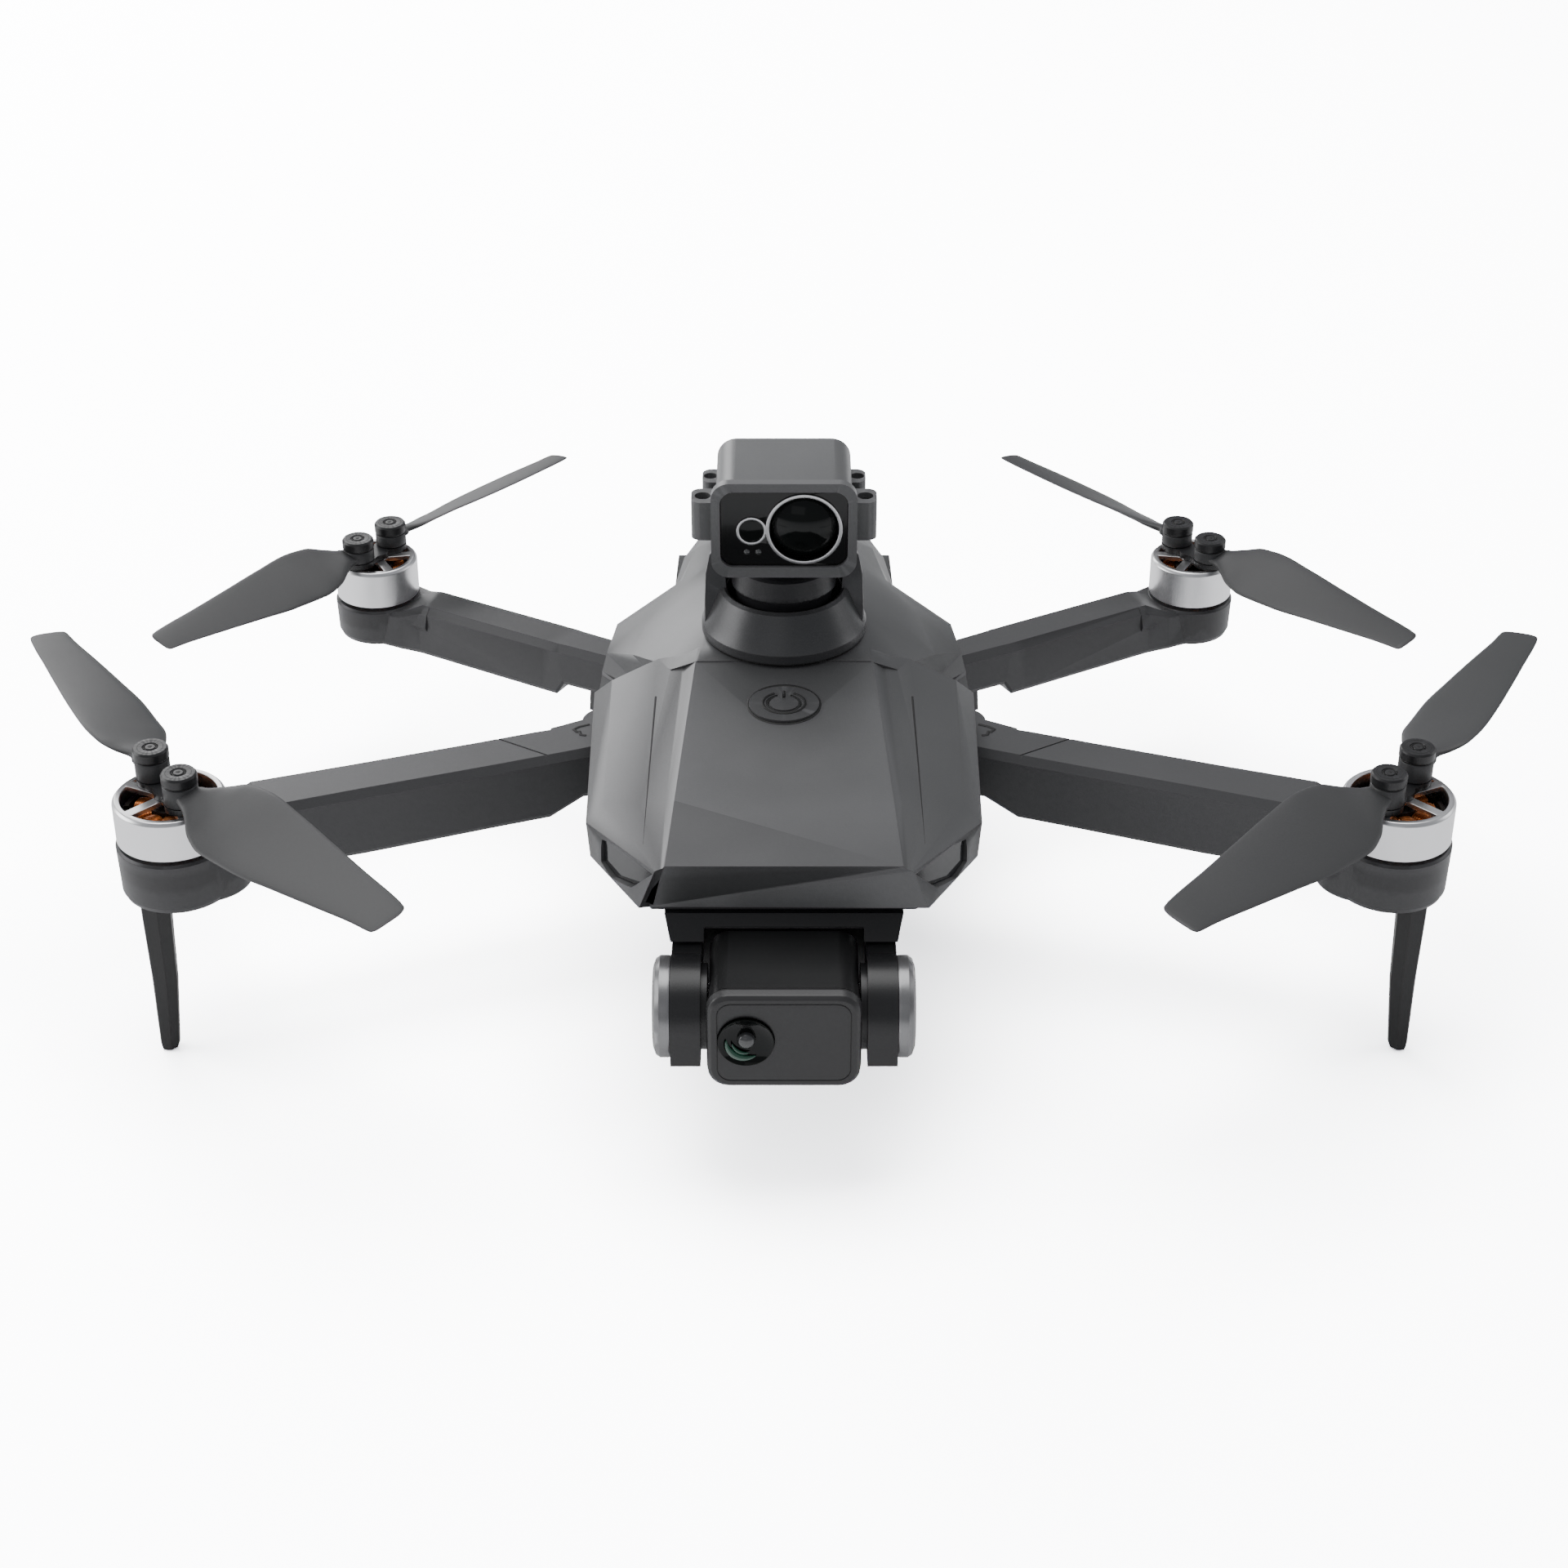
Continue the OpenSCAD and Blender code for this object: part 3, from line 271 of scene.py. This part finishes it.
# ------------------------------------------------------------- mesh helpers
def make(name, verts, faces, mats, body, repl=(), smooth=38, index=None):
    me = bpy.data.meshes.new(name)
    me.from_pydata([tuple(v) for v in verts], [], [tuple(f) for f in faces])
    for m in mats:
        me.materials.append(m)
    if index is not None:
        me.polygons.foreach_set("material_index", index)
    me.polygons.foreach_set("use_smooth", [True] * len(me.polygons))
    me.validate()
    me.update()
    if smooth:
        me.set_sharp_from_angle(angle=math.radians(smooth))
    o = bpy.data.objects.new(name, me)
    scene.collection.objects.link(o)
    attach(o, body)
    if repl:
        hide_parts(*repl)
    return o


def P(x, y, z):
    return (x * MM, (y - YM) * MM, z * MM)


class Soup:
    def __init__(self):
        self.v, self.f, self.m = [], [], []

    def add(self, v, f, m=0, flip=False):
        k = len(self.v)
        self.v += list(v)
        for q in f:
            q = [i + k for i in q]
            self.f.append(q[::-1] if flip else q)
            self.m.append(m)

    def rings(self, rings, m=0, flip=False, close=False, cap=True):
        n, k = len(rings[0]), len(rings)
        v = [p for r in rings for p in r]
        f = []
        for i in range(k if close else k - 1):
            a, b = i * n, ((i + 1) % k) * n
            for j in range(n):
                j2 = (j + 1) % n
                f.append([a + j, a + j2, b + j2, b + j])
        if not close and cap:
            f.append(list(range(n))[::-1])
            f.append([(k - 1) * n + j for j in range(n)])
        self.add(v, f, m, flip)


def lathe(soup, prof, c, seg=48, m=0, flip=False):
    """prof: closed loop of (r, z), all r > 0."""
    rings = []
    for i in range(seg):
        t = 2 * math.pi * i / seg
        rings.append([P(c[0] + r * math.cos(t), c[1] + r * math.sin(t), z) for r, z in prof])
    soup.rings(rings, m, flip, close=True)


def tube(soup, path, r, seg=8, closed=False, m=0, flat=1.0, flip=False):
    """path: points in mm; the tube is r thick across and r * flat up."""
    pts = [Vector(p) for p in path]
    n = len(pts)
    rr = r if isinstance(r, (list, tuple)) else [r] * n
    rings = []
    for i, p in enumerate(pts):
        a = pts[(i - 1) % n] if (closed or i) else pts[0]
        b = pts[(i + 1) % n] if (closed or i < n - 1) else pts[-1]
        t = (b - a).normalized()
        up = Vector((0, 0, 1)) if abs(t.z) < 0.9 else Vector((1, 0, 0))
        s = t.cross(up).normalized()
        u = s.cross(t).normalized()
        rings.append([P(*(p + s * rr[i] * math.cos(k * 2 * math.pi / seg) + u * rr[i] * flat * math.sin(k * 2 * math.pi / seg)))
                      for k in range(seg)])
    soup.rings(rings, m, flip, close=closed)


def mirror(v, sx):
    return [(p[0] * sx, p[1], p[2]) for p in v]


# ------------------------------------------------------------- blades
BELL_H, STACK, PITCH = 10.8, 1.9, 17.0
STN = np.array([[5, 4.4, -3.4, 1, 0, 1.5], [8.5, 7.6, -5, 0.9, 0, 1.2], [13, 11, -7.6, 1, 0.1, 0.9], [20, 12, -9.4, 1, 0.2, 0.8],
                [31, 10.9, -9.4, 0.86, 0.2, 0.7], [44, 9, -8.2, 0.7, 0.2, 0.6], [57, 7, -6.8, 0.56, 0.2, 0.5],
                [68, 5.4, -5.6, 0.46, 0.2, 0.45], [72, 4.4, -5.4, 0.42, 0.2, 0.4], [73.1, 3.2, -5.1, 0.42, 0.2, 0.34],
                [73.5, 1.6, -4.3, 0.42, 0.2, 0.2]])


def curve_through(x, y, q):
    """Monotone cubic through the points, so no overshoot."""
    h = np.diff(x)
    d = np.diff(y) / h
    m = np.zeros(len(x))
    m[0], m[-1] = d[0], d[-1]
    for i in range(1, len(x) - 1):
        if d[i - 1] * d[i] > 0:
            w1, w2 = 2 * h[i] + h[i - 1], h[i] + 2 * h[i - 1]
            m[i] = (w1 + w2) / (w1 / d[i - 1] + w2 / d[i])
    k = np.clip(np.searchsorted(x, q) - 1, 0, len(h) - 1)
    t = (q - x[k]) / h[k]
    return ((2 * t**3 - 3 * t**2 + 1) * y[k] + (t**3 - 2 * t**2 + t) * h[k] * m[k]
            + (-2 * t**3 + 3 * t**2) * y[k + 1] + (t**3 - t**2) * h[k] * m[k + 1])


def blade(name, body, c, z, a, s, b, m, w, tw, length, gap, t, v, sx):
    th = (t - 1.6) / 2
    st = np.vstack([[2.2, 3.2 / w, -3.2 / v, .2, 0, th], [3.6, 3.9 / w, -3.6 / v, .6, 0, th * .97], STN])
    k = length / 73.5
    xs = st[:, 0].copy()
    xs[2:] *= k
    q = np.concatenate([np.linspace(xs[0], xs[4], 14)[:-1], np.linspace(xs[4], xs[-3], 34)[:-1], np.linspace(xs[-3], xs[-1], 8)])
    col = [curve_through(xs, st[:, i], q) for i in range(1, 6)]
    A, B = math.radians(a), math.radians(b)
    px, py = c[0] + s * gap / 2 * math.cos(A), c[1] + s * gap / 2 * math.sin(A)
    pz = z + BELL_H + STACK - 0.1 + t / 2
    S = Soup()
    rings = []
    n = 30
    for x, c0, c1, pr, rise, h in zip(q, *col):
        c0, c1 = c0 * w, c1 * v
        p = math.radians(PITCH * pr * tw)
        ring = []
        for j in range(n):
            u = 2 * math.pi * j / n
            y = (c0 + c1) / 2 + (c0 - c1) / 2 * math.cos(u)
            sn = math.sin(u)
            e = abs(sn) ** 0.85
            zz = h * e * (1.0 if sn > 0 else -0.62)
            zz += 0.05 * h
            X, Y, Z = x, y * math.cos(p) - zz * math.sin(p), y * math.sin(p) + zz * math.cos(p) + rise
            Y *= m
            ring.append(P((px + X * math.cos(B) - Y * math.sin(B)) * sx, py + X * math.sin(B) + Y * math.cos(B), pz + Z))
        rings.append(ring)
    S.rings(rings, 0, flip=(m * sx < 0))
    lo, hi, ro, ri = z + BELL_H + STACK - 0.1, z + BELL_H + STACK - 0.1 + t, 4.3, 1.67
    f = 0.35
    prof = [(ri, lo), (ro - f, lo), (ro - f * .3, lo + f * .3), (ro, lo + f), (ro, hi - f), (ro - f * .3, hi - f * .3), (ro - f, hi), (ri, hi)]
    lathe(S, prof, (px * sx, py), 56, 0, flip=True)
    return make(name + "_skin", S.v, S.f, [M["blade"]], body, (name,), smooth=50)


FM, RM = (-149.6, -49.0), (-116.0, 86.5)
FZ, RZ = 59.2, 55.6
PROP = {"front": (FM, FZ, -53, 15.0, 5.2, 13.9, 27.6), "rear": (RM, RZ, 53, 13.0, 3.4, 11.6, 23.2)}
for side, sx in (("left", 1), ("right", -1)):
    blade("blade_front_%s_a" % side, "blade_front_%s_a" % side, FM, FZ, -53, 1, -43.5, 1, 1.0, 1.0, 79.5, 15.0, 5.2, 1.22, sx)
    blade("blade_front_%s_b" % side, "blade_front_%s_b" % side, FM, FZ, -53, -1, 122, 1, 0.8, 1.0, 79.5, 15.0, 5.2, 1.22, sx)
    blade("blade_rear_%s_a" % side, "blade_rear_%s_a" % side, RM, RZ, 53, 1, 49.5, -1, 0.55, 1.5, 70.5, 13.0, 3.4, 1.0, sx)
    blade("blade_rear_%s_b" % side, "blade_rear_%s_b" % side, RM, RZ, 53, -1, 228, -1, 0.8, 1.2, 70.5, 13.0, 3.4, 1.0, sx)


# ------------------------------------------------------------- stators and hub marks
def stator(name, body, c, z, k, sx):
    S = Soup()
    cx, cy, z0 = c[0] * sx, c[1], z - 1.1
    lathe(S, [(1.62, z0), (4.5, z0), (4.7, z0 + .2), (4.7, z0 + 9.4), (4.5, z0 + 9.6), (1.62, z0 + 9.6)], (cx, cy), 40, 1, flip=True)
    lathe(S, [(4.2, z0), (8.3 * k, z0), (8.5 * k, z0 + .2), (8.5 * k, z0 + .8), (8.3 * k, z0 + 1), (4.2, z0 + 1)], (cx, cy), 56, 1, flip=True)
    for i in range(9):
        t = math.radians(40 * i)
        er, et = Vector((math.cos(t), math.sin(t), 0)), Vector((-math.sin(t), math.cos(t), 0))
        o = Vector((cx, cy, z0 + 5.3))
        # wire turns, wound round the tooth, thicker in the middle of the coil
        for j in range(7):
            r0 = 4.9 + (3.1 * k) * j / 6
            wv = (1.75 + 0.5 * math.sin(math.pi * (j + .5) / 7)) * (0.8 + 0.2 * r0 / 8) * min(k, 1.15)
            hv = 3.0 + 0.45 * math.sin(math.pi * (j + .5) / 7)
            path = []
            for q in range(20):
                u = 2 * math.pi * q / 20
                cu, su = math.cos(u), math.sin(u)
                path.append(o + er * r0 + et * wv * math.copysign(abs(cu) ** .6, cu) + Vector((0, 0, 1)) * hv * math.copysign(abs(su) ** .6, su))
            rings = []
            for q in range(20):
                p, tt = path[q], (path[(q + 1) % 20] - path[q - 1]).normalized()
                nn = er.cross(tt).normalized()
                rings.append([P(*(p + er * .30 * k * math.cos(g) + nn * .34 * math.sin(g))) for g in [2 * math.pi * h / 6 for h in range(6)]])
            S.rings(rings, 0, flip=False, close=True)
        # tooth shoe, rounded to the bore
        r1, r2 = 8.25 * k, 9.3 * k
        ring = []
        for zz in (z0 + 2.4, z0 + 2.7, z0 + 7.9, z0 + 8.2):
            ins = .15 if zz in (z0 + 2.4, z0 + 8.2) else 0
            pts = []
            for g in np.linspace(-.27, .27, 7):
                pts.append((r2 - ins, g))
            for g in np.linspace(.27, -.27, 7):
                pts.append((r1 + ins, g))
            ring.append([P(cx + r * math.cos(t + g), cy + r * math.sin(t + g), zz) for r, g in pts])
        S.rings(ring, 1)
    return make(name + "_wound", S.v, S.f, [M["copper"], M["lamination"]], body, (name,), smooth=40, index=S.m)


def hub_marks(name, body, c, z, a, gap, t, sx):
    """The curved groove and centre dot on each cap, and a thin dark ring round it."""
    S = Soup()
    A = math.radians(a)
    zt = z + BELL_H + STACK + t + 0.1 + 2.8
    for s in (-1, 1):
        x, y = (c[0] + s * gap / 2 * math.cos(A)) * sx, c[1] + s * gap / 2 * math.sin(A)
        arc = [(x + 1.62 * math.cos(g), y + 1.62 * math.sin(g), zt - .27) for g in np.linspace(math.radians(-20), math.radians(215), 26)]
        tube(S, arc, [.20] * 26, 8, False, 0, 1.0)
        arc2 = [(x + 3.15 * math.cos(g), y + 3.15 * math.sin(g), zt - .01) for g in np.linspace(0, 2 * math.pi, 49)[:-1]]
        tube(S, arc2, .07, 6, True, 0, .6)
        lathe(S, [(.02, zt - .55), (.42, zt - .55), (.5, zt - .48), (.5, zt - .02), (.42, zt + .03), (.02, zt + .03)], (x, y), 20, 0, flip=True)
    return make("marks_" + name, S.v, S.f, [M["line"]], body, (), smooth=40)


for w in ("front", "rear"):
    c, z, a, gap, t, rr, dd = PROP[w]
    for side, sx in (("left", 1), ("right", -1)):
        arm = "%s_arm_%s" % (w, side)
        stator("stator_%s_%s" % (w, side), arm, c, z, 1.25 if w == "front" else 1.0, sx)
        hub_marks("%s_%s" % (w, side), "prop_%s_%s" % (w, side), c, z, a, gap, t, sx)


# ------------------------------------------------------------- lines that follow a surface
def tree_of(name):
    o = NODE[name]
    me = o.data
    return BVHTree.FromPolygons([o.matrix_world @ v.co for v in me.vertices], [tuple(p.vertices) for p in me.polygons])


def drop(tree, x, y, default):
    hit = tree.ray_cast(Vector((x * MM, (y - YM) * MM, 0.2)), Vector((0, 0, -1)))
    return hit[0].z / MM if hit[0] is not None else default


shell_tree = tree_of("upper_shell")
for side, sx in (("left", -1), ("right", 1)):
    n = 60
    S, S2 = Soup(), Soup()
    path, wid, path2, wid2 = [], [], [], []
    for i in range(n):
        u = i / (n - 1)
        x, y = 32.4 + 0.5 * u, -12.3 - 66.6 * u
        zz = drop(shell_tree, x * sx, y, 76)
        path.append((x * sx, y, zz + .005))
        wid.append(max(.30 * (1 - u) ** .7, .03))
        x2 = x + .42 * (1 - u) ** .7 + .06
        path2.append((x2 * sx, y, drop(shell_tree, x2 * sx, y, 76) - .02))
        wid2.append(max(.16 * (1 - u) ** .7, .02))
    tube(S, path, wid, 8, False, 0, .25)
    make("shell_groove_" + side, S.v, S.f, [M["line"]], "root", (), smooth=60)

# latch outline at each front arm root, on the arm's top face
for side, sx in (("left", -1), ("right", 1)):
    node = "front_arm_%s" % side
    tr = tree_of(node)
    outline = [(50.6, 2.2), (53.2, 1.0), (54.6, -0.4), (53.6, -1.8), (53.0, -1.4), (52.6, -3.2), (50.8, -3.6)]
    S = Soup()
    pts = []
    for i in range(len(outline) - 1):
        (x0, y0), (x1, y1) = outline[i], outline[i + 1]
        for q in range(5):
            x, y = x0 + (x1 - x0) * q / 5, y0 + (y1 - y0) * q / 5
            pts.append((x * sx, y, drop(tr, x * sx, y, 60) + .08))
    tube(S, pts, .42, 8, False, 0, .3)
    make("latch_outline_" + side, S.v, S.f, [M["line"]], node, (), smooth=60)

# ------------------------------------------------------------- button marks
bt = tree_of("power_button")
blo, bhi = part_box("power_button")
bc = ((blo.x + bhi.x) / 2 / MM, (blo.y + bhi.y) / 2 / MM + YM)
brad = 8.8


def on_button(r, g, lift):
    x, y = bc[0] + r * math.cos(g), bc[1] + r * math.sin(g)
    return (x, y, drop(bt, x, y, bhi.z / MM) + lift)


S = Soup()
tube(S, [on_button(5.3, g, .12) for g in np.linspace(math.radians(118), math.radians(422), 60)], .32, 8, False, 0, .45)
tube(S, [on_button(4.1, g, .12) for g in np.linspace(math.radians(125), math.radians(415), 52)], .26, 8, False, 0, .45)
tube(S, [(bc[0], bc[1] + q, drop(bt, bc[0], bc[1] + q, 79) + .12) for q in np.linspace(3.4, 5.8, 8)], .34, 8, False, 0, .45)
make("button_symbol", S.v, S.f, [M["line"]], "power_button", (), smooth=60)
S = Soup()
ring = []
for g in np.linspace(0, 2 * math.pi, 97)[:-1]:
    x, y = bc[0] + (brad + .12) * math.cos(g), bc[1] + (brad + .12) * math.sin(g)
    x2, y2 = bc[0] + (brad + .7) * math.cos(g), bc[1] + (brad + .7) * math.sin(g)
    ring.append((x, y, drop(shell_tree, x2, y2, 78) + .10))
tube(S, ring, .44, 8, True, 0, .35)
make("button_gap", S.v, S.f, [M["line"]], "root", (), smooth=60)

# ------------------------------------------------------------- camera eye
clo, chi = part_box("camera_lens")
cc = ((clo.x + chi.x) / 2 / MM, (clo.z + chi.z) / 2 / MM)
cy = clo.y / MM + YM
flo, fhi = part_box("camera_front_frame")
fy = flo.y / MM + YM


def face_lathe(soup, prof, cx, cz, seg=56, m=0):
    """prof: closed loop of (r, y), turned about the axis that points along y."""
    rings = []
    for i in range(seg):
        t = 2 * math.pi * i / seg
        rings.append([P(cx + r * math.cos(t), y, cz + r * math.sin(t)) for r, y in prof])
    soup.rings(rings, m, False, close=True)


S = Soup()
face_lathe(S, [(.02, cy + 1.1), (3.6, cy + 1.0), (5.6, cy + .3), (6.3, cy - .15), (6.45, cy - .1), (6.45, cy + .5), (5.6, cy + 1.3), (.02, cy + 1.6)], cc[0], cc[1], 64, 0)
make("camera_dish", S.v, S.f, [M["glass"]], "camera", ("camera_lens",), smooth=50)
S = Soup()
face_lathe(S, [(.02, cy - .75), (1.0, cy - .62), (1.7, cy - .2), (2.05, cy + .4), (2.05, cy + 1.2), (.02, cy + 1.2)], cc[0] + .1, cc[1] + .2, 40, 0)
make("camera_dome", S.v, S.f, [M["led"]], "camera", (), smooth=70)
# painted reflection: two tapered green crescents on the lens stand in for the coating's coloured reflection
S = Soup()
for r_, w_, g0, g1, n_ in ((4.5, .95, 175, 300, 40), (3.2, .5, 190, 285, 30)):
    pts = [(cc[0] + r_ * math.cos(math.radians(g)), cy + .38, cc[1] + r_ * math.sin(math.radians(g))) for g in np.linspace(g0, g1, n_)]
    tube(S, pts, [max(w_ * math.sin(math.pi * (i + .5) / n_) ** .7, .03) for i in range(n_)], 10, False, 0, .9)
make("camera_lens_painted_reflection", S.v, S.f, [M["green"]], "camera", (), smooth=70)

S = Soup()
hw_, hh_, rc_ = (fhi.x - flo.x) / 2 / MM - 2.5, (fhi.z - flo.z) / 2 / MM - 2.3, 3.2
zc_ = (fhi.z + flo.z) / 2 / MM
line = []
for q, (sx_, sz_) in enumerate(((1, 1), (-1, 1), (-1, -1), (1, -1))):
    for g in np.linspace(0, 90, 9):
        t = math.radians(90 * q + g)
        line.append((sx_ * (hw_ - rc_) + rc_ * math.cos(t), fy - .01, zc_ + sz_ * (hh_ - rc_) + rc_ * math.sin(t)))
tube(S, line, .13, 6, True, 0, 1.0)
make("camera_face_groove", S.v, S.f, [M["line"]], "camera", (), smooth=60)

# ------------------------------------------------------------- two small lights on the head panel
wlo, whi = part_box("head_window")
wy = wlo.y / MM + YM
S = Soup()
for dx in (-9.3, -6.4):
    face_lathe(S, [(.02, wy - .42), (.45, wy - .34), (.78, wy - .08), (.84, wy + .3), (.02, wy + .3)], dx, wlo.z / MM + 3.6, 22, 0)
make("head_lights", S.v, S.f, [M["led"]], "head", (), smooth=60)

# ------------------------------------------------------------- floor
fs = 6.0
nf = 24
fv = [(-fs + 2 * fs * i / nf, -fs + 2 * fs * j / nf, 0.0) for j in range(nf + 1) for i in range(nf + 1)]
ff = [(j * (nf + 1) + i, j * (nf + 1) + i + 1, (j + 1) * (nf + 1) + i + 1, (j + 1) * (nf + 1) + i) for j in range(nf) for i in range(nf)]
fme = bpy.data.meshes.new("studio_floor")
fme.from_pydata(fv, [], ff)
fm_ = bpy.data.materials.new("studio_floor_white")
fm_.use_nodes = True
ft = fm_.node_tree
for n_ in list(ft.nodes):
    if n_.type == "BSDF_PRINCIPLED":
        ft.nodes.remove(n_)
out_ = [n_ for n_ in ft.nodes if n_.type == "OUTPUT_MATERIAL"][0]
seen_, unseen_, pick_, ray_ = (ft.nodes.new(t) for t in ("ShaderNodeBsdfDiffuse", "ShaderNodeBsdfDiffuse", "ShaderNodeMixShader", "ShaderNodeLightPath"))
seen_.inputs["Color"].default_value = (10.5, 10.5, 10.55, 1)
unseen_.inputs["Color"].default_value = (.42, .42, .425, 1)
ft.links.new(ray_.outputs["Is Camera Ray"], pick_.inputs[0])
gloss_, pick2_ = ft.nodes.new("ShaderNodeBsdfDiffuse"), ft.nodes.new("ShaderNodeMixShader")
gloss_.inputs["Color"].default_value = (1.15, 1.15, 1.16, 1)
ft.links.new(ray_.outputs["Is Glossy Ray"], pick2_.inputs[0])
ft.links.new(unseen_.outputs[0], pick2_.inputs[1])
ft.links.new(gloss_.outputs[0], pick2_.inputs[2])
ft.links.new(pick2_.outputs[0], pick_.inputs[1])
ft.links.new(seen_.outputs[0], pick_.inputs[2])
ft.links.new(pick_.outputs[0], out_.inputs["Surface"])
fme.materials.append(fm_)
floor = bpy.data.objects.new("studio_floor", fme)
scene.collection.objects.link(floor)
